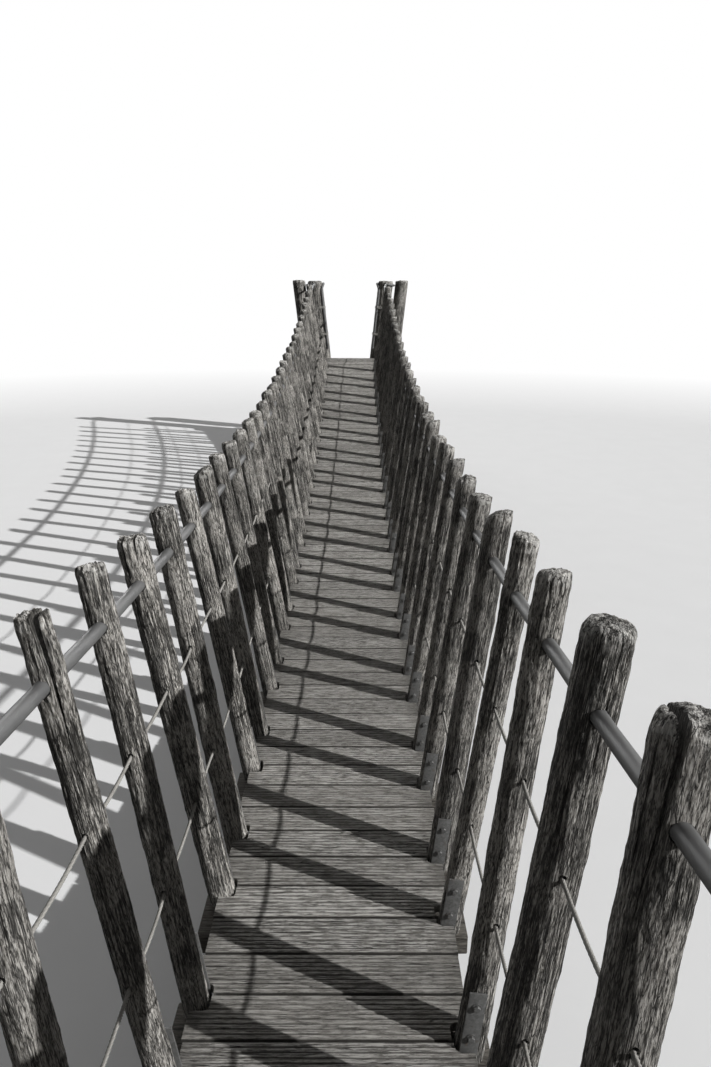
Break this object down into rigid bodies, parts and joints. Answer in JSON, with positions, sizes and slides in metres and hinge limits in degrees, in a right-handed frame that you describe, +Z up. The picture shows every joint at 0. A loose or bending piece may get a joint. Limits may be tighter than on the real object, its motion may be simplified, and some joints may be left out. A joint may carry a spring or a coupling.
{
  "type": "sagging plank footbridge",
  "caption": "Sagging footbridge with a grooved plank deck on cables, outward-leaning round log posts, a handrail and rope lines, held between round gate posts.",
  "frame": {"origin": "on the floor below the middle of the deck, at the bottom centre of the bounding box", "axes": "+X across the bridge to the right, +Y along the bridge from the near end to the far end, +Z up"},
  "size_m": [1.7616, 16.1392, 2.4386],
  "materials": {
    "deck_wood": "grooved, weathered",
    "log_wood": "debarked, weathered, cracked",
    "gate_wood": "debarked, weathered",
    "beam_wood": "sawn, weathered",
    "plate_steel": "zinc coated, dull",
    "cable_steel": "stranded, dull",
    "handrail_sheath": "smooth, weathered",
    "rope": "twisted, weathered"
  },
  "bodies": {
    "root": {"bearing_cable_left": "cable_steel", "bearing_cable_right": "cable_steel", "cross_bearers_1": "beam_wood", "cross_bearers_2": "beam_wood", "cross_bearers_3": "beam_wood", "cross_bearers_4": "beam_wood", "deck_boards_1": "deck_wood", "deck_boards_2": "deck_wood", "deck_boards_3": "deck_wood", "deck_boards_4": "deck_wood", "deck_boards_5": "deck_wood", "far_cable_anchors": "plate_steel", "far_left_gate_post": "gate_wood", "far_left_outer_post": "gate_wood", "far_right_gate_post": "gate_wood", "far_right_outer_post": "gate_wood", "far_sill_beam": "beam_wood", "foot_plates_left_1": "plate_steel", "foot_plates_left_2": "plate_steel", "foot_plates_right_1": "plate_steel", "foot_plates_right_2": "plate_steel", "handrail_left": "handrail_sheath", "handrail_right": "handrail_sheath", "lower_rope_left": "rope", "lower_rope_right": "rope", "middle_rope_left": "rope", "middle_rope_right": "rope", "near_cable_anchors": "plate_steel", "near_left_gate_post": "gate_wood", "near_left_outer_post": "gate_wood", "near_right_gate_post": "gate_wood", "near_right_outer_post": "gate_wood", "near_sill_beam": "beam_wood", "railing_logs_left_1": "log_wood", "railing_logs_left_2": "log_wood", "railing_logs_left_3": "log_wood", "railing_logs_left_4": "log_wood", "railing_logs_right_1": "log_wood", "railing_logs_right_2": "log_wood", "railing_logs_right_3": "log_wood", "railing_logs_right_4": "log_wood"}
  },
  "joints": []
}
